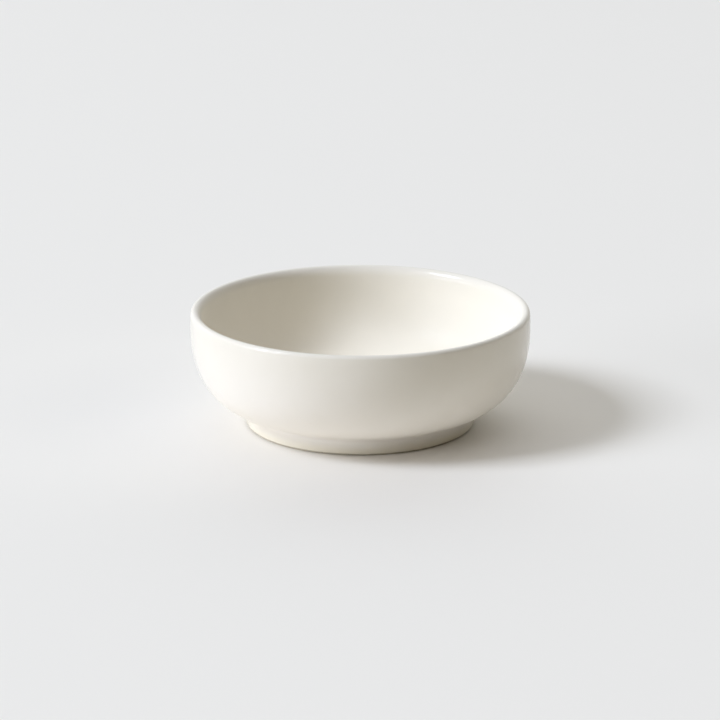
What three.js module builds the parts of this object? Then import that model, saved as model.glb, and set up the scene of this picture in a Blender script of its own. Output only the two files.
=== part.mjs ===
// Small footed dish of glazed ceramic: a fired clay body, the coat of glaze over its outside, lip and inside,
// and a separate patch of glaze in the recess of its foot.
// Millimetres, +Z up. The origin is the centre of the foot ring, on the face that the dish stands on.
import * as THREE from 'three';

// Overall form, measured over the glaze
const DISH_DIAMETER = 110;
const DISH_HEIGHT = 38;
const BELLY_HEIGHT = 32.2; // height of the widest circle, a little below the lip
const BELLY_HANDLE = 16; // how long the outside stays near upright below the widest circle
const UNDERSIDE_RISE = 16; // degrees above level at which the underside leaves the foot
const UNDERSIDE_HANDLE = 9; // how long the underside keeps that rise before it turns up

// Lip, measured over the glaze
const LIP_OUTER_RADIUS = 1.25; // rounding on the outside of the lip's crest
const LIP_INNER_WIDTH = 2.2; // from the crest inwards to the wall
const LIP_INNER_DEPTH = 3.2; // how far down the softer rounding on the inside reaches
const LIP_DRAW_IN = 0.2; // how far the lip lies inside the widest circle
const LIP_LEAN = 6; // degrees that the outside leans inwards where it meets the lip

// Wall and floor, measured over the glaze on both sides
const WALL_AT_BELLY = 3.7;
const WALL_AT_FOOT = 4.4;
const FLOOR_DIP = 2; // how far the inside floor sinks below the root of the wall
const FLOOR_THICKNESS = 4;

// Foot ring
const FOOT_DIAMETER = 74; // outside, over the glaze
const FOOT_HEIGHT = 5.4; // to the corner that the fillet rounds
const FOOT_FILLET = 2.6;
const FOOT_RING_WIDTH = 4; // of the clay, at its bottom
const FOOT_INNER_DRAFT = 12; // degrees that the inside of the ring leans
const FOOT_EDGE = 0.35; // rounding on both edges of the standing face
const RECESS_FILLET = 2;

// Glaze
const GLAZE_THICKNESS = 0.35;
const GLAZE_SETBACK = 0.1; // bare clay between the foot's rounded edge and the edge of the glaze
const BOND_GAP = 0.05; // between the clay and the underside of the glaze

// Facets
const ROUND_SEGMENTS = 60;
const OUTSIDE_STEPS = 8;
const INSIDE_STEPS = 6;
const LIP_STEPS = 4;
const FILLET_STEPS = 3;
const BLEND_STEPS = 2;
const EDGE_STEPS = 2;

const COAT = GLAZE_THICKNESS + BOND_GAP;
const GLAZE_LINE = FOOT_EDGE + GLAZE_SETBACK; // height at which the glaze ends
const BELLY_RADIUS = DISH_DIAMETER / 2;
const FOOT_RADIUS = FOOT_DIAMETER / 2;

const radians = THREE.MathUtils.degToRad;
const point = (radius, height) => new THREE.Vector2(radius, height);

// A unit step in the outline's plane, at an angle above level.
function heading(angle) {
  return point(Math.cos(angle), Math.sin(angle));
}

// A point moved along a heading by a length.
function along(start, direction, length) {
  return start.clone().addScaledVector(direction, length);
}

// The direction a quarter turn to the left of another.
function leftOf(direction) {
  return point(-direction.y, direction.x);
}

// Stretches of points joined end to end, with each shared end kept once.
function join(...stretches) {
  return stretches.flatMap((points, index) => (index === 0 ? points : points.slice(1)));
}

// The outline moved sideways by a distance, to the left of its travel, with mitred corners.
function offsetOutline(outline, distance) {
  const last = outline.length - 1;
  const sides = outline.slice(1).map((end, index) => leftOf(end.clone().sub(outline[index]).normalize()));
  return outline.map((corner, index) => {
    const before = sides[Math.max(index - 1, 0)];
    const after = sides[Math.min(index, last - 1)];
    const side = before.clone().add(after).normalize();
    const moved = along(corner, side, distance / side.dot(before));
    return corner.x === 0 ? point(0, moved.y) : moved;
  });
}

// The rounded edge between two points, past the corner that it takes off.
function roundedEdge(start, corner, end) {
  return new THREE.QuadraticBezierCurve(start, corner, end).getPoints(EDGE_STEPS);
}

// The concave fillet between the foot and the underside, from the foot's wall to the underside.
function footFillet(rise) {
  const cornerLength = FOOT_FILLET * Math.tan((Math.PI / 2 - rise) / 2);
  const centre = point(FOOT_RADIUS + FOOT_FILLET, FOOT_HEIGHT - cornerLength);
  const arc = new THREE.EllipseCurve(
    centre.x, centre.y, FOOT_FILLET, FOOT_FILLET, Math.PI, Math.PI / 2 + rise, true,
  );
  return arc.getPoints(FILLET_STEPS);
}

// The outside from the end of the fillet to the widest circle.
function bodyCurve(start, rise) {
  const belly = point(BELLY_RADIUS, BELLY_HEIGHT);
  return new THREE.CubicBezierCurve(
    start,
    along(start, heading(rise), UNDERSIDE_HANDLE),
    along(belly, heading(Math.PI / 2), -BELLY_HANDLE),
    belly,
  );
}

// A smooth stretch between two points with given headings at its ends.
function blend(start, startHeading, end, endHeading, steps) {
  const handle = start.distanceTo(end) / 3;
  const curve = new THREE.CubicBezierCurve(
    start,
    along(start, startHeading, handle),
    along(end, endHeading, -handle),
    end,
  );
  return curve.getPoints(steps);
}

// The lip from the outside to the inside: a small round up to the crest, then a softer one down to the wall.
function lipOutline(lean) {
  const crest = BELLY_RADIUS - LIP_DRAW_IN - LIP_OUTER_RADIUS;
  const outer = new THREE.EllipseCurve(
    crest, DISH_HEIGHT - LIP_OUTER_RADIUS, LIP_OUTER_RADIUS, LIP_OUTER_RADIUS, lean, Math.PI / 2, false,
  );
  const inner = new THREE.EllipseCurve(
    crest, DISH_HEIGHT - LIP_INNER_DEPTH, LIP_INNER_WIDTH, LIP_INNER_DEPTH, Math.PI / 2, Math.PI, false,
  );
  return join(outer.getPoints(LIP_STEPS), inner.getPoints(LIP_STEPS));
}

// The inside of the wall: the outside moved inwards by a thickness that grows from the belly to the foot.
function innerWall(outside) {
  const points = [];
  for (let step = INSIDE_STEPS; step >= 0; step -= 1) {
    const share = step / INSIDE_STEPS;
    const thickness = THREE.MathUtils.lerp(WALL_AT_FOOT, WALL_AT_BELLY, share);
    points.push(along(outside.getPoint(share), leftOf(outside.getTangent(share)), thickness));
  }
  return points;
}

// The inside floor: it leaves the root of the wall along the wall and levels out to a flat middle.
function innerFloor(root, rise) {
  const level = root.y - FLOOR_DIP;
  const run = FLOOR_DIP / Math.tan(rise);
  const flatStart = point(root.x - 2 * run, level);
  const turn = new THREE.QuadraticBezierCurve(root, point(root.x - run, level), flatStart);
  return join(turn.getPoints(BLEND_STEPS), [flatStart, point(0, level)]);
}

// The glazed surface: from the glaze's edge on the foot, up the outside, over the lip and down to the floor.
function glazedOutline() {
  const up = heading(Math.PI / 2);
  const down = heading(-Math.PI / 2);
  const rise = radians(UNDERSIDE_RISE);
  const lean = radians(LIP_LEAN);

  const fillet = footFillet(rise);
  const outside = bodyCurve(fillet.at(-1), rise);
  const lip = lipOutline(lean);
  const wall = innerWall(outside);

  return join(
    [point(FOOT_RADIUS, GLAZE_LINE + GLAZE_THICKNESS), fillet[0]],
    fillet,
    outside.getPoints(OUTSIDE_STEPS),
    blend(outside.v3, up, lip[0], heading(Math.PI / 2 + lean), BLEND_STEPS),
    lip,
    blend(lip.at(-1), down, wall[0], down, BLEND_STEPS),
    wall,
    innerFloor(wall.at(-1), rise),
  );
}

// The clay of the recess, from the axis along its roof and down the inside of the ring to the glaze line.
function recessOutline(roof) {
  const draft = radians(FOOT_INNER_DRAFT);
  const wallDown = heading(draft - Math.PI / 2);
  const bottomRadius = FOOT_RADIUS - COAT - FOOT_RING_WIDTH;
  const lineEnd = point(bottomRadius - GLAZE_LINE * Math.tan(draft), GLAZE_LINE);

  const cornerRadius = bottomRadius - roof * Math.tan(draft);
  const cornerLength = RECESS_FILLET * Math.tan((Math.PI / 2 - draft) / 2);
  const centre = point(cornerRadius - cornerLength, roof - RECESS_FILLET);
  const arc = new THREE.EllipseCurve(
    centre.x, centre.y, RECESS_FILLET, RECESS_FILLET, Math.PI / 2, draft, true,
  );
  const fillet = arc.getPoints(FILLET_STEPS);
  return { outline: join([point(0, roof), fillet[0]], fillet, [fillet.at(-1), lineEnd]), wallDown };
}

// A solid turned from an outline that runs anticlockwise round its material and starts and ends on the axis.
function turned(outline) {
  const geometry = new THREE.LatheGeometry(outline, ROUND_SEGMENTS);
  geometry.rotateX(Math.PI / 2);
  return geometry;
}

function namedMesh(name, geometry, colour, roughness) {
  const material = new THREE.MeshStandardMaterial({ color: colour, roughness, metalness: 0 });
  const mesh = new THREE.Mesh(geometry, material);
  mesh.name = name;
  return mesh;
}

const glazed = glazedOutline();
const floorLevel = glazed.at(-1).y;
const recess = recessOutline(floorLevel - FLOOR_THICKNESS + COAT);

// The clay: recess, inside of the ring, standing face with rounded edges, then all that the coat covers.
function clayOutline() {
  const covered = offsetOutline(glazed, COAT);
  const lineEnd = recess.outline.at(-1);
  const innerEdge = along(lineEnd, recess.wallDown, (lineEnd.y - FOOT_EDGE) / -recess.wallDown.y);
  const innerCorner = along(lineEnd, recess.wallDown, lineEnd.y / -recess.wallDown.y);
  const outerCorner = point(covered[0].x, 0);
  return [
    ...recess.outline,
    ...roundedEdge(innerEdge, innerCorner, point(innerCorner.x + FOOT_EDGE, 0)),
    ...roundedEdge(point(outerCorner.x - FOOT_EDGE, 0), outerCorner, point(outerCorner.x, FOOT_EDGE)),
    ...covered,
  ];
}

// The coat: its underside from the floor's middle back to the foot, its edge, then the surface that shows.
function coatOutline() {
  const underside = offsetOutline(glazed, GLAZE_THICKNESS);
  const edge = point(underside[0].x, GLAZE_LINE);
  return [...underside.reverse(), edge, ...glazed];
}

// The patch in the recess: the surface that shows, its edge on the ring, then its side against the clay.
function patchOutline() {
  const upper = offsetOutline(recess.outline, -BOND_GAP);
  const shown = offsetOutline(recess.outline, -COAT);
  const edge = along(shown.at(-1), recess.wallDown, -GLAZE_THICKNESS);
  return [...shown.slice(0, -1), edge, ...upper.reverse()];
}

const dish = new THREE.Group();
dish.name = 'footed_dish';
dish.add(
  namedMesh('clay_body', turned(clayOutline()), 0xdacdb6, 0.85),
  namedMesh('glaze_coat', turned(coatOutline()), 0xefece0, 0.2),
  namedMesh('base_glaze', turned(patchOutline()), 0xefece0, 0.2),
);

export default dish;
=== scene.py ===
import math

import bmesh
import bpy
from bpy.props import FloatProperty, FloatVectorProperty, IntProperty, PointerProperty
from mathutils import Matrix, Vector, noise


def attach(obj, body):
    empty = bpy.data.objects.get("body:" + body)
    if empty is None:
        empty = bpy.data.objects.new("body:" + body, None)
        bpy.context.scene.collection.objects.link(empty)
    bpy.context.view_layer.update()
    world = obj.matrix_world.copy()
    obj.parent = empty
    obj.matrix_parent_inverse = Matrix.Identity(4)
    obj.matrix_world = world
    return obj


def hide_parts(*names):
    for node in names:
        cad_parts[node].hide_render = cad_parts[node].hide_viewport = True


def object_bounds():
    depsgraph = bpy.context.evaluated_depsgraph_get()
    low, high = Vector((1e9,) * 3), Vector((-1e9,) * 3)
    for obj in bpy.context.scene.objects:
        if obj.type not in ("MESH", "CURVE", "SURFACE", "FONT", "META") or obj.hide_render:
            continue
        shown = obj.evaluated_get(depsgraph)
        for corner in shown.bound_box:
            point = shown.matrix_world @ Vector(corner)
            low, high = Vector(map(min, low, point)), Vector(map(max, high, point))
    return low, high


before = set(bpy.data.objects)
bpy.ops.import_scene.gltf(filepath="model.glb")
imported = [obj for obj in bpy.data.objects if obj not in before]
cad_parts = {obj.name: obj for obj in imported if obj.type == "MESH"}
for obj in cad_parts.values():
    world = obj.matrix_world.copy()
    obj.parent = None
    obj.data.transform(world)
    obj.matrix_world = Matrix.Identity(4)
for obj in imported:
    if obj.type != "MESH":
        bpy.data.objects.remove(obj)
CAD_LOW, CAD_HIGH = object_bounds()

bl_info = {
    "name": "Footed dish",
    "version": (1, 0, 0),
    "blender": (4, 5, 0),
    "location": "View3D > Sidebar > Dish",
    "description": "Builds a small footed dish of ivory glazed ceramic, with its floor, light and camera",
    "category": "Add Mesh",
}

SENSOR_WIDTH = 36.0  # millimetres


# Sizes, colours and stage that a user would change

def length(name, description, metres):
    """A length property, in metres."""
    return FloatProperty(
        name=name, description=description, default=metres, unit="LENGTH", min=0.0, precision=5,
    )


def position(name, description, metres):
    """A place along one axis, in metres."""
    return FloatProperty(name=name, description=description, default=metres, unit="LENGTH", precision=5)


def angle(name, description, degrees):
    """An angle property, given in degrees and kept in radians."""
    return FloatProperty(
        name=name, description=description, default=math.radians(degrees), subtype="ANGLE",
    )


def colour(name, description, values):
    """A colour property, in linear light."""
    return FloatVectorProperty(
        name=name, description=description, default=values, subtype="COLOR", size=3, min=0.0, max=1.0,
    )


def share(name, description, value):
    """A plain number from 0 to 1."""
    return FloatProperty(
        name=name, description=description, default=value, subtype="FACTOR", min=0.0, max=1.0,
    )


def strength(name, description, value):
    """A plain number from 0 upwards."""
    return FloatProperty(name=name, description=description, default=value, min=0.0)


class DishForm(bpy.types.PropertyGroup):
    """Sizes of the dish, measured over the glaze unless the description says otherwise."""

    diameter: length("Diameter", "Across the widest circle", CAD_HIGH.x - CAD_LOW.x)
    height: length("Height", "From the standing face to the top of the lip", CAD_HIGH.z - CAD_LOW.z)
    belly_height: length("Belly height", "Height of the widest circle", 0.0322)
    belly_handle: length("Belly handle", "How long the outside stays near upright below the belly", 0.016)
    underside_rise: angle("Underside rise", "Slope at which the underside leaves the foot", 16.0)
    underside_handle: length("Underside handle", "How long the underside keeps that slope", 0.009)
    lip_outer_radius: length("Lip outer radius", "Rounding on the outside of the lip's crest", 0.00125)
    lip_inner_width: length("Lip inner width", "From the lip's crest inwards to the wall", 0.0022)
    lip_inner_depth: length("Lip inner depth", "How far down the softer inner rounding reaches", 0.0032)
    lip_draw_in: length("Lip draw-in", "How far the lip lies inside the widest circle", 0.0002)
    lip_lean: angle("Lip lean", "Inward lean of the outside where it meets the lip", 6.0)
    wall_at_belly: length("Wall at belly", "Thickness of the wall at the widest circle", 0.0037)
    wall_at_foot: length("Wall at foot", "Thickness of the wall where it meets the foot", 0.0044)
    floor_dip: length("Floor dip", "How far the inside floor sinks below the root of the wall", 0.002)
    floor_thickness: length("Floor thickness", "From the inside floor to the glazed recess", 0.004)
    foot_diameter: length("Foot diameter", "Across the outside of the foot", 0.074)
    foot_height: length("Foot height", "To the corner that the fillet rounds", 0.0054)
    foot_fillet: length("Foot fillet", "Radius between foot and underside", 0.0026)
    ring_width: length("Foot ring width", "Width of the clay ring at its bottom", 0.004)
    ring_draft: angle("Foot ring draft", "Lean of the inside of the foot ring", 12.0)
    foot_edge: length("Foot edge", "Rounding on both edges of the standing face", 0.00035)
    recess_fillet: length("Recess fillet", "Radius between foot ring and recess", 0.002)
    glaze_thickness: length("Glaze thickness", "Thickness of the coat of glaze", 0.00035)
    glaze_setback: length("Glaze setback", "Bare clay between the foot's edge and the glaze", 0.0001)
    bond_gap: length("Bond gap", "Gap between clay and glaze", 0.00005)
    glaze_waver: length("Glaze waver", "How far the edge of the glaze rises and falls", 0.00015)
    unevenness: length("Unevenness", "Depth of the slow waves that firing leaves in the surface", 0.00004)
    segments: IntProperty(name="Segments", description="Faces round the dish", default=192, min=12)


class DishFinish(bpy.types.PropertyGroup):
    """Colours and gloss of the glaze and the bare clay."""

    glaze: colour("Glaze", "Ivory of the glaze at its usual thickness", (0.8, 0.751, 0.65))
    glaze_inside: colour("Inside glaze", "Where it lies thick and warm inside", (0.952, 0.902, 0.795))
    glaze_thin: colour("Thin glaze", "Where the glaze runs thin over the lip", (0.815, 0.772, 0.683))
    # Also painted light: spread up the outside from the foot, this whiter colour stands in for light thrown
    # up from the floor onto the lower wall and underside, besides pooled glaze.
    glaze_pooled_and_painted_bounce: colour(
        "Pooled glaze", "Where the glaze runs down the wall and gathers white", (0.955, 0.92, 0.888),
    )
    glaze_foot: colour("Foot glaze", "Where the warm clay shows through on the foot", (0.91, 0.84, 0.655))
    glaze_roughness: share("Glaze roughness", "Of the glaze's body; lower is glossier", 0.4)
    body_shine: share("Body shine", "Strength of the soft shine of the glaze's body", 0.1)
    outside_gloss: share("Outside gloss", "Strength of the clear gloss over the outside", 0.8)
    lip_gloss: share("Lip gloss", "Strength of the clear gloss over the lip", 0.4)
    inside_gloss: share("Inside gloss", "Strength of the clear gloss over the inside", 0.02)
    gloss_roughness: share("Gloss roughness", "Of the clear gloss; lower is sharper", 0.05)
    clay: colour("Bare clay", "Fired clay of the foot ring", (0.66, 0.6, 0.5))
    clay_grit: colour("Grit", "Darker grains in the clay", (0.4, 0.34, 0.26))


def panel_properties(power, turn, rise, distance, width, height, tint):
    """The properties of one soft light panel, with the panel's own defaults."""
    return {
        "power": strength("Power", "Watts that the panel gives off", power),
        "turn": angle("Turn", "Direction of the panel, from straight left towards the camera", turn),
        "rise": angle("Rise", "Height of the panel as an angle above the floor", rise),
        "distance": length("Distance", "From the dish to the panel", distance),
        "width": length("Width", "Across the panel", width),
        "height": length("Height", "Up the panel", height),
        "tint": colour("Tint", "Colour of the panel's light", tint),
    }


class KeyPanel(bpy.types.PropertyGroup):
    """Large soft light on the left, a little towards the camera."""

    __annotations__ = panel_properties(
        power=790.0, turn=16.0, rise=41.0, distance=10.0, width=3.4, height=3.4, tint=(0.792, 0.862, 1.0),
    )


class LowPanel(bpy.types.PropertyGroup):
    """Low white card on the left that lights the underside and the foot."""

    __annotations__ = panel_properties(
        power=322.0, turn=20.0, rise=10.0, distance=10.0, width=5.0, height=1.92, tint=(0.842, 0.887, 1.0),
    )


class DishStage(bpy.types.PropertyGroup):
    """Floor, light and camera."""

    floor: colour("Floor", "Pale paper as the camera and the gloss see it", (0.874, 0.841, 0.781))
    floor_bounce: colour("Floor bounce", "The paper in the light that it throws", (0.968, 0.911, 0.783))
    # Painted shade on the paper: a darker patch beside the lit wall, set against the light that the wall
    # throws onto the floor.
    floor_painted_shade: colour(
        "Toned floor", "Paper toned down where the lit wall brightens it", (0.764, 0.741, 0.703),
    )
    painted_shade_across: position("Toned across", "Middle of the toned paper along X", -0.056)
    painted_shade_away: position("Toned away", "Middle of the toned paper along Y", 0.012)
    painted_shade_reach: length("Toned reach", "From that middle to where the tone has faded out", 0.085)
    floor_size: length("Floor size", "Side of the square floor", 8.0)
    key: PointerProperty(type=KeyPanel, name="Key", description="Large soft light on the left")
    low: PointerProperty(type=LowPanel, name="Low card", description="Low white card on the left")
    above: colour("Glow above", "Colour of the light from overhead", (1.0, 0.97, 0.945))
    above_strength: strength("Strength above", "Of the light from overhead", 0.74)
    behind: colour("Glow behind", "Colour of the light from behind the dish", (0.875, 0.945, 1.0))
    behind_strength: strength("Strength behind", "Of the light from behind the dish", 1.74)
    room_seen: colour("Room seen", "The room as the camera and the gloss see it", (0.82, 0.8, 0.76))
    camera_distance: length("Camera distance", "From the aim to the camera", 1.2)
    camera_elevation: angle("Camera elevation", "Angle of the camera above the floor", 16.68)
    camera_lens: FloatProperty(name="Lens", description="Focal length in millimetres", default=185.0)
    aim_height: length("Aim height", "Height of the point that the camera looks at", 0.0206)
    aim_across: position("Aim across", "The same point's place along X", -0.00015)


# Outlines, as points of radius and height

def heading(turn):
    """A unit step at an angle above level."""
    return Vector((math.cos(turn), math.sin(turn)))


def left_of(direction):
    """The direction a quarter turn to the left."""
    return Vector((-direction.y, direction.x))


UP = Vector((0.0, 1.0))
DOWN = Vector((0.0, -1.0))


def bezier_place(controls, along):
    """The point on a Bezier curve at a share of its run, and its heading there."""
    line = [Vector(control) for control in controls]
    while len(line) > 2:
        line = [first.lerp(second, along) for first, second in zip(line, line[1:])]
    return line[0].lerp(line[1], along), (line[1] - line[0]).normalized()


def bezier(controls, steps):
    """Points along a Bezier curve, both ends included."""
    return [bezier_place(controls, step / steps)[0] for step in range(steps + 1)]


def oval_arc(centre, width, height, start, end, steps):
    """Points along an arc of an oval with a half width and a half height, from one angle to another."""
    turns = [start + (end - start) * step / steps for step in range(steps + 1)]
    return [centre + Vector((width * math.cos(turn), height * math.sin(turn))) for turn in turns]


def arc(centre, radius, start, end, steps):
    """Points along an arc of a circle from one angle to another."""
    return oval_arc(centre, radius, radius, start, end, steps)


def straight(start, end, steps):
    """Points along a straight stretch."""
    return [start.lerp(end, step / steps) for step in range(steps + 1)]


def smooth_link(start, start_heading, end, end_heading, steps):
    """A smooth stretch between two points with given headings at its ends."""
    reach = (end - start).length / 3
    return bezier([start, start + reach * start_heading, end - reach * end_heading, end], steps)


def join(*stretches):
    """Stretches of points joined end to end, with each shared end kept once."""
    joined = list(stretches[0])
    for stretch in stretches[1:]:
        joined += stretch[1:]
    return joined


def offset(outline, distance):
    """The outline moved sideways, to the left of its travel, with mitred corners."""
    sides = [left_of((end - start).normalized()) for start, end in zip(outline, outline[1:])]
    moved = []
    for index, corner in enumerate(outline):
        before = sides[max(index - 1, 0)]
        after = sides[min(index, len(sides) - 1)]
        side = (before + after).normalized()
        place = corner + side * (distance / side.dot(before))
        moved.append(Vector((0.0, place.y)) if corner.x == 0.0 else place)
    return moved


def thinned(outline, stride):
    """Every few points of an outline, with its last point kept."""
    last = len(outline) - 1
    return [point for index, point in enumerate(outline) if index % stride == 0 or index == last]


class DishOutlines:
    """The outlines that the three pieces are turned from, worked out from the form's sizes."""

    # Steps along each stretch
    FOOT_STEPS = 6
    FOOT_FILLET_STEPS = 14
    BODY_STEPS = 60
    BELLY_TO_LIP_STEPS = 10
    LIP_OUTER_STEPS = 14
    LIP_INNER_STEPS = 18
    LIP_TO_WALL_STEPS = 8
    FLOOR_CURVE_STEPS = 20
    FLOOR_FLAT_STEPS = 10
    RECESS_ROOF_STEPS = 12
    RECESS_FILLET_STEPS = 12
    RING_STEPS = 6
    STANDING_EDGE_STEPS = 5
    STANDING_FACE_STEPS = 8
    BARE_FOOT_STEPS = 3
    GLAZE_EDGE_STEPS = 6

    # Every how many points a hidden side keeps of the side that shows
    COVERED_STRIDE = 4
    RECESS_STRIDE = 2

    WAVER_REACH = 0.4  # share of the foot's height over which the waver of the glaze's edge fades out

    def __init__(self, form):
        self.form = form
        self.coat = form.glaze_thickness + form.bond_gap
        self.glaze_line = form.foot_edge + form.glaze_setback
        self.waver_top = self.WAVER_REACH * form.foot_height
        self.foot_radius = form.foot_diameter / 2
        self.glazed = self.glazed_surface()
        self.floor_level = self.glazed[-1].y
        self.roof_level = self.floor_level - form.floor_thickness + self.coat
        self.recess, self.ring_down = self.recess_clay()

    def glazed_surface(self):
        """From the glaze's edge on the foot up the outside, over the lip and down to the floor's middle."""
        form = self.form
        rise = form.underside_rise
        corner_run = form.foot_fillet * math.tan((math.pi / 2 - rise) / 2)
        fillet_centre = Vector((self.foot_radius + form.foot_fillet, form.foot_height - corner_run))
        fillet = arc(fillet_centre, form.foot_fillet, math.pi, math.pi / 2 + rise, self.FOOT_FILLET_STEPS)

        belly = Vector((form.diameter / 2, form.belly_height))
        body = [
            fillet[-1],
            fillet[-1] + form.underside_handle * heading(rise),
            belly - form.belly_handle * UP,
            belly,
        ]
        crest = belly.x - form.lip_draw_in - form.lip_outer_radius
        outer_centre = Vector((crest, form.height - form.lip_outer_radius))
        inner_centre = Vector((crest, form.height - form.lip_inner_depth))
        lip_outside = arc(
            outer_centre, form.lip_outer_radius, form.lip_lean, math.pi / 2, self.LIP_OUTER_STEPS,
        )
        lip_inside = oval_arc(
            inner_centre, form.lip_inner_width, form.lip_inner_depth,
            math.pi / 2, math.pi, self.LIP_INNER_STEPS,
        )
        lip = join(lip_outside, lip_inside)

        # The inside of the wall is the outside moved inwards, further towards the foot
        wall = []
        thinning = form.wall_at_belly - form.wall_at_foot
        for step in range(self.BODY_STEPS, -1, -1):
            place, direction = bezier_place(body, step / self.BODY_STEPS)
            thickness = form.wall_at_foot + thinning * step / self.BODY_STEPS
            wall.append(place + thickness * left_of(direction))

        root = wall[-1]
        run = form.floor_dip / math.tan(rise)
        level = root.y - form.floor_dip
        flat_start = Vector((root.x - 2 * run, level))
        floor = bezier([root, Vector((root.x - run, level)), flat_start], self.FLOOR_CURVE_STEPS)

        glaze_start = Vector((self.foot_radius, self.glaze_line + form.glaze_thickness))
        lip_heading = heading(math.pi / 2 + form.lip_lean)
        return join(
            straight(glaze_start, fillet[0], self.FOOT_STEPS),
            fillet,
            bezier(body, self.BODY_STEPS),
            smooth_link(belly, UP, lip[0], lip_heading, self.BELLY_TO_LIP_STEPS),
            lip,
            smooth_link(lip[-1], DOWN, wall[0], DOWN, self.LIP_TO_WALL_STEPS),
            wall,
            floor,
            straight(flat_start, Vector((0.0, level)), self.FLOOR_FLAT_STEPS),
        )

    def recess_clay(self):
        """The recess from the axis along its roof and down the ring to the glaze line, and the way down."""
        form = self.form
        draft = form.ring_draft
        bottom_radius = self.foot_radius - self.coat - form.ring_width
        line_end = Vector((bottom_radius - self.glaze_line * math.tan(draft), self.glaze_line))
        corner_radius = bottom_radius - self.roof_level * math.tan(draft)
        corner_run = form.recess_fillet * math.tan((math.pi / 2 - draft) / 2)
        centre = Vector((corner_radius - corner_run, self.roof_level - form.recess_fillet))
        fillet = arc(centre, form.recess_fillet, math.pi / 2, draft, self.RECESS_FILLET_STEPS)
        roof = straight(Vector((0.0, self.roof_level)), fillet[0], self.RECESS_ROOF_STEPS)
        ring = straight(fillet[-1], line_end, self.RING_STEPS)
        return join(roof, fillet, ring), heading(draft - math.pi / 2)

    def clay_body(self):
        """Recess, ring with its rounded standing face, then all that the coat covers."""
        form = self.form
        covered = offset(thinned(self.glazed, self.COVERED_STRIDE), self.coat)
        line_end = self.recess[-1]
        inner_edge = line_end + self.ring_down * ((line_end.y - form.foot_edge) / -self.ring_down.y)
        inner_corner = Vector((inner_edge.x + form.foot_edge * math.tan(form.ring_draft), 0.0))
        outer_corner = Vector((covered[0].x, 0.0))
        inner_flat = inner_corner + Vector((form.foot_edge, 0.0))
        outer_flat = outer_corner - Vector((form.foot_edge, 0.0))
        outer_edge = outer_corner + form.foot_edge * UP
        return join(
            self.recess,
            [line_end, inner_edge],
            bezier([inner_edge, inner_corner, inner_flat], self.STANDING_EDGE_STEPS),
            straight(inner_flat, outer_flat, self.STANDING_FACE_STEPS),
            bezier([outer_flat, outer_corner, outer_edge], self.STANDING_EDGE_STEPS),
            straight(outer_edge, covered[0], self.BARE_FOOT_STEPS),
            covered,
        )

    def glaze_coat(self):
        """The coat's underside from the floor's middle to the foot, its rounded edge, then what shows."""
        thickness = self.form.glaze_thickness
        underside = offset(thinned(self.glazed, self.COVERED_STRIDE), thickness)
        edge_inside = Vector((underside[0].x, self.glaze_line))
        edge_corner = Vector((self.glazed[0].x, self.glaze_line))
        return join(
            underside[::-1],
            [underside[0], edge_inside],
            bezier([edge_inside, edge_corner, self.glazed[0]], self.GLAZE_EDGE_STEPS),
            self.glazed,
        )

    def base_glaze(self):
        """What shows in the recess, its edge on the ring, then the upper side against the clay."""
        upper = offset(thinned(self.recess, self.RECESS_STRIDE), -self.form.bond_gap)
        shown = offset(self.recess, -self.coat)
        last_shown = shown[-1] - self.ring_down * self.form.glaze_thickness
        edge_corner = shown[-1]
        return join(
            shown[:-1] + [last_shown],
            bezier([last_shown, edge_corner, upper[-1]], self.GLAZE_EDGE_STEPS),
            upper[::-1],
        )


# Meshes

def turned_shape(outline, segments):
    """A solid turned about Z from an outline that runs anticlockwise round its material."""
    shape = bmesh.new()
    turns = [2 * math.pi * index / segments for index in range(segments)]
    rings = []
    for radius, height in outline:
        if radius == 0.0:
            rings.append([shape.verts.new((0.0, 0.0, height))])
        else:
            rings.append([
                shape.verts.new((radius * math.cos(turn), radius * math.sin(turn), height))
                for turn in turns
            ])
    for lower, upper in zip(rings, rings[1:]):
        for index in range(segments):
            after = (index + 1) % segments
            if len(lower) == 1:
                corners = [lower[0], upper[after], upper[index]]
            elif len(upper) == 1:
                corners = [lower[index], lower[after], upper[0]]
            else:
                corners = [lower[index], lower[after], upper[after], upper[index]]
            shape.faces.new(corners)
    return shape


def as_share(wave):
    """A wave between -1 and 1 as a share between 0 and 1."""
    return 0.5 + 0.5 * wave


def fired_unevenness(shape, depth):
    """Sinks the surface by slow waves, as a fired glaze is never quite true. Nothing moves outwards."""
    wave_length = 0.016
    shape.normal_update()
    for corner in shape.verts:
        wave = noise.noise(corner.co / wave_length)
        corner.co -= corner.normal * depth * as_share(wave)


def wavering_edge(shape, edge_height, fade_height, depth):
    """Lifts the glaze's edge on the foot by a slow waver that fades out above it."""
    # Each wave has a count round the foot, a start and a weight
    waves = ((2, 0.9, 0.26), (3, 2.1, 0.22), (5, 4.4, 0.2), (9, 1.3, 0.18), (14, 5.2, 0.14))
    for corner in shape.verts:
        fade = (fade_height - corner.co.z) / (fade_height - edge_height)
        if fade <= 0.0:
            continue
        turn = math.atan2(corner.co.y, corner.co.x)
        waver = sum(weight * math.sin(count * turn + start) for count, start, weight in waves)
        corner.co.z += min(fade, 1.0) * depth * as_share(waver)


def finished_piece(shape, name, material, node):
    """Turns a shape into a smooth piece that stands for a CAD node and rides on the dish."""
    crease = math.radians(50.0)
    mesh = bpy.data.meshes.new(name)
    shape.to_mesh(mesh)
    shape.free()
    mesh.shade_smooth()
    mesh.set_sharp_from_angle(angle=crease)
    mesh.materials.append(material)
    piece = bpy.data.objects.new(name, mesh)
    bpy.context.scene.collection.objects.link(piece)
    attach(piece, "root")
    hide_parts(node)


# Finishes

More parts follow.
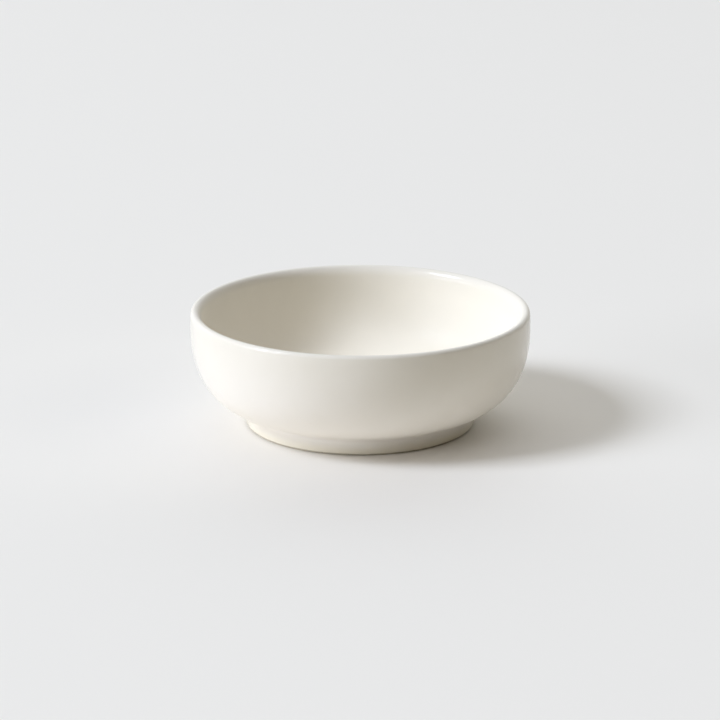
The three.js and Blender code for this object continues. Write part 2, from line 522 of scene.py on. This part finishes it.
class Wire:
    """A shader socket that takes part in Python arithmetic: each operation adds one Math node."""

    def __init__(self, kit, socket):
        self.kit = kit
        self.socket = socket

    def maths(self, operation, *terms):
        """One Math node fed with the terms in their order."""
        return self.kit.node("ShaderNodeMath", {"operation": operation}, dict(enumerate(terms)))

    def sine(self):
        """The sine of the wire's value, in radians."""
        return self.maths("SINE", self)

    def __add__(self, other):
        return self.maths("ADD", self, other)

    def __radd__(self, other):
        return self.maths("ADD", other, self)

    def __sub__(self, other):
        return self.maths("SUBTRACT", self, other)

    def __rsub__(self, other):
        return self.maths("SUBTRACT", other, self)

    def __mul__(self, other):
        return self.maths("MULTIPLY", self, other)

    def __rmul__(self, other):
        return self.maths("MULTIPLY", other, self)

    def __pow__(self, other):
        return self.maths("POWER", self, other)

    def __rpow__(self, other):
        return self.maths("POWER", other, self)


class NodeKit:
    """The nodes of a material or of the surroundings, added a step at a time."""

    def __init__(self, tree):
        self.nodes = tree.nodes
        self.links = tree.links

    def feed(self, socket, value):
        """Links a wire to a socket, or sets the socket to a plain value."""
        if isinstance(value, Wire):
            self.links.new(value.socket, socket)
        elif socket.type == "RGBA" and len(value) == 3:
            socket.default_value = (*value, 1.0)
        else:
            socket.default_value = value

    def node(self, kind, settings, sockets, output=0):
        """Adds a node, sets it up and feeds its sockets; gives one of its outputs."""
        made = self.nodes.new(kind)
        for name, value in settings.items():
            setattr(made, name, value)
        for key, value in sockets.items():
            self.feed(made.inputs[key], value)
        return Wire(self, made.outputs[output])

    def axes(self, vector):
        """The three parts of a vector."""
        return [self.node("ShaderNodeSeparateXYZ", {}, {0: vector}, index) for index in range(3)]

    def noise(self, place, size, detail=2.0, roughness=0.5):
        """Soft noise from 0 to 1 whose patches are about a size in metres."""
        sockets = {"Vector": place, "Scale": 1 / size, "Detail": detail, "Roughness": roughness}
        return self.node("ShaderNodeTexNoise", {}, sockets)

    def ramp(self, value, low, high):
        """0 below a low value and 1 above a high one, with a smooth rise between them."""
        sockets = {"Value": value, "From Min": low, "From Max": high}
        return self.node("ShaderNodeMapRange", {"interpolation_type": "SMOOTHSTEP"}, sockets)

    def mix(self, factor, first, second):
        """A colour between two others."""
        return self.node("ShaderNodeMix", {"data_type": "RGBA"}, {0: factor, 6: first, 7: second}, 2)

    def looked_at(self):
        """1 for rays that show a thing, straight or in a gloss, and 0 for rays that carry its light."""
        straight_on, in_gloss, through = [
            self.node("ShaderNodeLightPath", {}, {}, kind)
            for kind in ("Is Camera Ray", "Is Glossy Ray", "Is Transmission Ray")
        ]
        return straight_on + in_gloss + through

    def bump(self, height, metres):
        """A normal bent by a height from 0 to 1 that stands for a depth in metres."""
        sockets = {"Height": height, "Distance": metres, "Strength": 1.0}
        return self.node("ShaderNodeBump", {}, sockets)


class Finish(NodeKit):
    """A material under way, with its Principled shader."""

    def __init__(self, name):
        self.material = bpy.data.materials.new(name)
        self.material.use_nodes = True
        super().__init__(self.material.node_tree)
        self.shader = self.nodes["Principled BSDF"]

    def surface(self, **sockets):
        """Feeds the shader's own sockets, named with underscores for spaces."""
        for key, value in sockets.items():
            self.feed(self.shader.inputs[key.replace("_", " ")], value)

    def place(self):
        """The place on the piece, in metres, as a vector."""
        return self.node("ShaderNodeTexCoord", {}, {}, "Object")


# Grain of the finishes, as sizes and depths in metres

GLAZE_DRIFT_SIZE = 0.028
GLAZE_CLOUD_SIZE = 0.006
GLAZE_SHEEN_SIZE = 0.003
GLAZE_SKIN_SIZE = 0.0022
GLAZE_SKIN_DEPTH = 0.000012
PINHOLE_PATCH_SIZE = 0.004
CLAY_GRAIN_SIZE = 0.00035
CLAY_GRIT_SIZE = 0.0007
CLAY_NEAR_FLOOR_PATCH_SIZE = 0.006
CLAY_RELIEF = 0.00005
TRIMMING_PITCH = 0.00055
PAPER_TOOTH_SIZE = 0.0012
PAPER_TOOTH_DEPTH = 0.00002
PAPER_DRIFT_SIZE = 0.2

# Refraction of the two fired surfaces

GLAZE_IOR = 1.5
CLAY_IOR = 1.45


def glaze_tone(glaze, place, outside, pooling_and_painted_bounce, finish):
    """Colour of the glaze by its thickness and painted light: its usual ivory, warmer inside, and whiter
    low down outside, which is pooled glaze and painted bounce light from the floor.
    """
    drift_weight = 0.2
    cloud_weight = 0.1
    thick_inside = 0.38
    low_pooling_and_bounce = 0.35
    painted_bounce_outside = 0.4
    drift = glaze.noise(place, GLAZE_DRIFT_SIZE, detail=3.0)
    cloud = glaze.noise(place, GLAZE_CLOUD_SIZE)
    # Low down on the outside this whitening is painted bounce light from the floor as well as pooled glaze;
    # inside it is glaze pooled in the bowl.
    pooling_and_bounce_share = thick_inside * (1.0 - outside) + pooling_and_painted_bounce * (low_pooling_and_bounce + painted_bounce_outside * outside)
    thick = drift_weight * drift + cloud_weight * cloud + pooling_and_bounce_share
    pooled_and_bounce_tone = glaze.mix(outside, finish.glaze_inside, finish.glaze_pooled_and_painted_bounce)
    return glaze.mix(thick, finish.glaze, pooled_and_bounce_tone)


def pinholes_in(glaze, place):
    """1 in the few pinholes of the glaze and 0 elsewhere."""
    pits_per_metre = 260.0
    pit_core, pit_rim = 0.03, 0.07
    patch_edge, patch_full = 0.62, 0.7
    sockets = {"Vector": place, "Scale": pits_per_metre}
    cells = glaze.node("ShaderNodeTexVoronoi", {"feature": "F1"}, sockets)
    pits = 1.0 - glaze.ramp(cells, pit_core, pit_rim)
    patches = glaze.noise(place, PINHOLE_PATCH_SIZE, detail=1.0)
    return pits * glaze.ramp(patches, patch_edge, patch_full)


def glaze_finish(name, form, finish):
    """Ivory glaze: thin on the lip, warm inside, whiter low down outside with painted bounce light, glossy
    outside and satin inside, with a few pinholes.
    """
    lip_thinness = 0.6
    foot_warmth = 0.7
    pinhole_darkness = 0.35
    pinhole_roughness = 0.1
    uneven_roughness = 0.05
    # The radius times the normal's outward part is below 0 inside, and this much or more outside
    fully_outside = 0.05 * form.foot_diameter
    glaze = Finish(name)
    place = glaze.place()
    x, y, z = glaze.axes(place)
    normal_x, normal_y, _ = glaze.axes(glaze.node("ShaderNodeTexCoord", {}, {}, "Normal"))

    on_lip = glaze.ramp(z, form.height - form.lip_inner_depth, form.height)
    outside = glaze.ramp(x * normal_x + y * normal_y, 0.0, fully_outside)
    # 1 at the foot, fading to 0 at the lip: the share of whiter glaze low down, painted bounce light on the
    #                                        outside and pooling inside.
    pooling_and_painted_bounce = 1.0 - glaze.ramp(z, form.foot_height, form.height)
    on_foot = 1.0 - glaze.ramp(z, 0.0, form.foot_height)
    foot_wall = 1.0 - glaze.ramp(z, form.foot_height / 2, form.foot_height)
    upper_wall = glaze.ramp(z, form.foot_height, form.height / 2)

    body = glaze_tone(glaze, place, outside, pooling_and_painted_bounce, finish)
    body = glaze.mix(on_lip * lip_thinness, body, finish.glaze_thin)
    body = glaze.mix(on_foot * outside * foot_warmth, body, finish.glaze_foot)

    pinholes = pinholes_in(glaze, place)
    sheen = glaze.noise(place, GLAZE_SHEEN_SIZE, detail=3.0) - 0.5  # centred on 0
    skin = glaze.noise(place, GLAZE_SKIN_SIZE)
    glossy = outside * (upper_wall + foot_wall)
    gloss = finish.inside_gloss + (finish.outside_gloss - finish.inside_gloss) * glossy
    gloss = gloss + on_lip * (finish.lip_gloss - gloss)
    glaze.surface(
        Base_Color=glaze.mix(pinholes * pinhole_darkness, body, finish.clay),
        Roughness=finish.glaze_roughness + uneven_roughness * sheen + pinhole_roughness * pinholes,
        Normal=glaze.bump(skin - pinholes, GLAZE_SKIN_DEPTH),
        IOR=GLAZE_IOR,
        Specular_IOR_Level=finish.body_shine,
        Coat_Weight=gloss,
        Coat_Roughness=finish.gloss_roughness,
    )
    return glaze.material


def clay_finish(name, form, finish):
    """Bare fired clay: fine grit, trimming rings, and darker in patches on the face that it stands on and
    its rounded edges.
    """
    plain_share = 0.75
    grit_edge, grit_full = 0.6, 0.72
    grit_share = 0.5
    near_floor_darkening = 0.25
    ring_weight = 0.35
    least_roughness = 0.8
    grain_roughness = 0.15
    clay = Finish(name)
    place = clay.place()
    x, y, z = clay.axes(place)
    radius = (x * x + y * y) ** 0.5
    rings = (radius * (2 * math.pi / TRIMMING_PITCH)).sine()
    grain = clay.noise(place, CLAY_GRAIN_SIZE, detail=4.0, roughness=0.65)
    grit = clay.ramp(clay.noise(place, CLAY_GRIT_SIZE), grit_edge, grit_full)
    # Darker in patches towards the bottom, over the standing face and its rounded edges.
    near_floor = 1.0 - clay.ramp(z, 0.0, form.foot_edge)
    body = clay.mix(grain, finish.clay, finish.clay_grit)
    body = clay.mix(plain_share, body, finish.clay)
    body = clay.mix(grit * grit_share, body, finish.clay_grit)
    body = clay.mix(near_floor * near_floor_darkening * clay.noise(place, CLAY_NEAR_FLOOR_PATCH_SIZE), body, finish.clay_grit)
    clay.surface(
        Base_Color=body,
        Roughness=least_roughness + grain_roughness * grain,
        Normal=clay.bump(grain + ring_weight * rings, CLAY_RELIEF),
        IOR=CLAY_IOR,
    )
    return clay.material


def floor_finish(name, stage):
    """Pale matt paper with a faint tooth, darkened by painted shade beside the lit wall, warmer in the
    light it throws.
    """
    deeper_level = 0.985
    tooth_weight = 0.6
    drift_weight = 0.4
    least_roughness = 0.75
    tooth_roughness = 0.1
    paper_shine = 0.3
    paper = Finish(name)
    place = paper.place()
    tooth = paper.noise(place, PAPER_TOOTH_SIZE, detail=3.0, roughness=0.6)
    drift = paper.noise(place, PAPER_DRIFT_SIZE)
    deeper = [deeper_level * part for part in stage.floor]
    seen = paper.mix(tooth_weight * tooth + drift_weight * drift, stage.floor, deeper)
    # Painted shade: the paper turns darker towards a middle point beside the lit wall, against the light
    # that the wall throws onto it.
    x, y, _ = paper.axes(place)
    across = x - stage.painted_shade_across
    away = y - stage.painted_shade_away
    spread = (across * across + away * away) ** 0.5
    painted_shade = 1.0 - paper.ramp(spread, 0.0, stage.painted_shade_reach)
    seen = paper.mix(painted_shade, seen, stage.floor_painted_shade)
    paper.surface(
        Base_Color=paper.mix(paper.looked_at(), stage.floor_bounce, seen),
        Roughness=least_roughness + tooth_roughness * tooth,
        Normal=paper.bump(tooth, PAPER_TOOTH_DEPTH),
        Specular_IOR_Level=paper_shine,
    )
    return paper.material


# Operators, one for each piece and one for the stage

class DISH_OT_clay_body(bpy.types.Operator):
    """Turn the fired clay body with its bare foot ring"""

    bl_idname = "dish.clay_body"
    bl_label = "Clay body"

    def execute(self, context):
        form = context.scene.dish_form
        shape = turned_shape(DishOutlines(form).clay_body(), form.segments)
        material = clay_finish("bare_clay", form, context.scene.dish_finish)
        finished_piece(shape, "fired_clay_body", material, "clay_body")
        return {"FINISHED"}


class DISH_OT_glaze_coat(bpy.types.Operator):
    """Turn the coat of glaze over outside, lip and inside"""

    bl_idname = "dish.glaze_coat"
    bl_label = "Glaze coat"

    def execute(self, context):
        form = context.scene.dish_form
        outlines = DishOutlines(form)
        shape = turned_shape(outlines.glaze_coat(), form.segments)
        fired_unevenness(shape, form.unevenness)
        wavering_edge(shape, outlines.glaze_line, outlines.waver_top, form.glaze_waver)
        material = glaze_finish("ivory_glaze", form, context.scene.dish_finish)
        finished_piece(shape, "ivory_glaze_coat", material, "glaze_coat")
        return {"FINISHED"}


class DISH_OT_base_glaze(bpy.types.Operator):
    """Turn the patch of glaze in the recess of the foot"""

    bl_idname = "dish.base_glaze"
    bl_label = "Recess glaze"

    def execute(self, context):
        form = context.scene.dish_form
        outlines = DishOutlines(form)
        shape = turned_shape(outlines.base_glaze(), form.segments)
        wavering_edge(shape, outlines.glaze_line, outlines.waver_top, form.glaze_waver)
        material = glaze_finish("recess_glaze", form, context.scene.dish_finish)
        finished_piece(shape, "recess_glaze_patch", material, "base_glaze")
        return {"FINISHED"}


class DISH_OT_stage(bpy.types.Operator):
    """Set the pale floor, the soft light, the surroundings and the camera"""

    bl_idname = "dish.stage"
    bl_label = "Stage"

    # Where each glow of the room starts and where it is full, along the direction that it comes from
    ABOVE_SPREAD = (0.55, 0.95)
    BEHIND_SPREAD = (0.45, 0.95)

    def execute(self, context):
        scene = context.scene
        stage = scene.dish_stage
        scene.view_settings.view_transform = "Standard"
        self.floor(scene, stage)
        self.soft_panel(scene, "key_panel", stage.key)
        self.soft_panel(scene, "low_panel", stage.low)
        self.surroundings(scene, stage)
        self.camera(scene, stage)
        return {"FINISHED"}

    def floor(self, scene, stage):
        """Lays one large square of paper under the dish."""
        half = stage.floor_size / 2
        corners = [(-half, -half, 0), (half, -half, 0), (half, half, 0), (-half, half, 0)]
        mesh = bpy.data.meshes.new("pale_floor")
        mesh.from_pydata(corners, [], [(0, 1, 2, 3)])
        mesh.materials.append(floor_finish("pale_paper", stage))
        floor = bpy.data.objects.new("pale_floor", mesh)
        scene.collection.objects.link(floor)

    def soft_panel(self, scene, name, panel):
        """Hangs one soft panel of light that faces the dish and that the camera doesn't see."""
        light = bpy.data.lights.new(name, "AREA")
        light.shape = "RECTANGLE"
        light.size = panel.width
        light.size_y = panel.height
        light.energy = panel.power
        light.color = panel.tint
        lamp = bpy.data.objects.new(name, light)
        scene.collection.objects.link(lamp)
        level = math.cos(panel.rise)
        towards = Vector((
            -level * math.cos(panel.turn),
            -level * math.sin(panel.turn),
            math.sin(panel.rise),
        ))
        lamp.location = panel.distance * towards
        lamp.rotation_euler = towards.to_track_quat("Z", "Y").to_euler()
        lamp.visible_camera = False

    def surroundings(self, scene, stage):
        """Lights the room from above and behind, and shows camera and gloss one plain colour of it."""
        world = bpy.data.worlds.new("surroundings")
        world.use_nodes = True
        room = NodeKit(world.node_tree)
        _, away, up = room.axes(room.node("ShaderNodeTexCoord", {}, {}, "Generated"))
        above = self.glow(room, stage.above, stage.above_strength * room.ramp(up, *self.ABOVE_SPREAD))
        behind = self.glow(room, stage.behind, stage.behind_strength * room.ramp(away, *self.BEHIND_SPREAD))
        lit = room.node("ShaderNodeAddShader", {}, {0: above, 1: behind})
        seen = self.glow(room, stage.room_seen, 1.0)
        shown = room.node("ShaderNodeMixShader", {}, {0: room.looked_at(), 1: lit, 2: seen})
        room.feed(world.node_tree.nodes["World Output"].inputs["Surface"], shown)
        scene.world = world

    def glow(self, room, tint, level):
        """Light of one colour from the room."""
        return room.node("ShaderNodeBackground", {}, {"Color": tint, "Strength": level})

    def camera(self, scene, stage):
        """Sets the camera where the photo was taken from."""
        view = bpy.data.cameras.new("photo_view")
        view.sensor_width = SENSOR_WIDTH
        view.lens = stage.camera_lens
        camera = bpy.data.objects.new("photo_view", view)
        scene.collection.objects.link(camera)
        back = Vector((0.0, -math.cos(stage.camera_elevation), math.sin(stage.camera_elevation)))
        camera.location = Vector((stage.aim_across, 0.0, stage.aim_height)) + stage.camera_distance * back
        camera.rotation_euler = back.to_track_quat("Z", "Y").to_euler()
        scene.camera = camera


class DISH_PT_panel(bpy.types.Panel):
    """Sizes, colours and pieces of the dish"""

    bl_idname = "DISH_PT_panel"
    bl_label = "Footed dish"
    bl_space_type = "VIEW_3D"
    bl_region_type = "UI"
    bl_category = "Dish"

    def draw(self, context):
        for group in (context.scene.dish_form, context.scene.dish_finish, context.scene.dish_stage):
            self.draw_group(self.layout, group)
        for operator in OPERATORS:
            self.layout.operator(operator.bl_idname)

    def draw_group(self, layout, group):
        """Shows a group's properties in a box, with groups inside it in boxes of their own."""
        box = layout.box()
        for name in group.__annotations__:
            value = getattr(group, name)
            if isinstance(value, bpy.types.PropertyGroup):
                self.draw_group(box, value)
            else:
                box.prop(group, name)


OPERATORS = (DISH_OT_clay_body, DISH_OT_glaze_coat, DISH_OT_base_glaze, DISH_OT_stage)
CLASSES = (DishForm, DishFinish, KeyPanel, LowPanel, DishStage, *OPERATORS, DISH_PT_panel)


# Registration and the build itself

def register():
    """Adds the classes, and the settings of the dish to every scene."""
    for made in CLASSES:
        bpy.utils.register_class(made)
    bpy.types.Scene.dish_form = PointerProperty(type=DishForm)
    bpy.types.Scene.dish_finish = PointerProperty(type=DishFinish)
    bpy.types.Scene.dish_stage = PointerProperty(type=DishStage)


def unregister():
    """Takes the settings and the classes away again."""
    del bpy.types.Scene.dish_stage
    del bpy.types.Scene.dish_finish
    del bpy.types.Scene.dish_form
    for made in reversed(CLASSES):
        bpy.utils.unregister_class(made)


def main():
    """Builds the pieces and the stage."""
    register()
    bpy.ops.dish.clay_body()
    bpy.ops.dish.glaze_coat()
    bpy.ops.dish.base_glaze()
    bpy.ops.dish.stage()


if __name__ == "__main__":
    main()
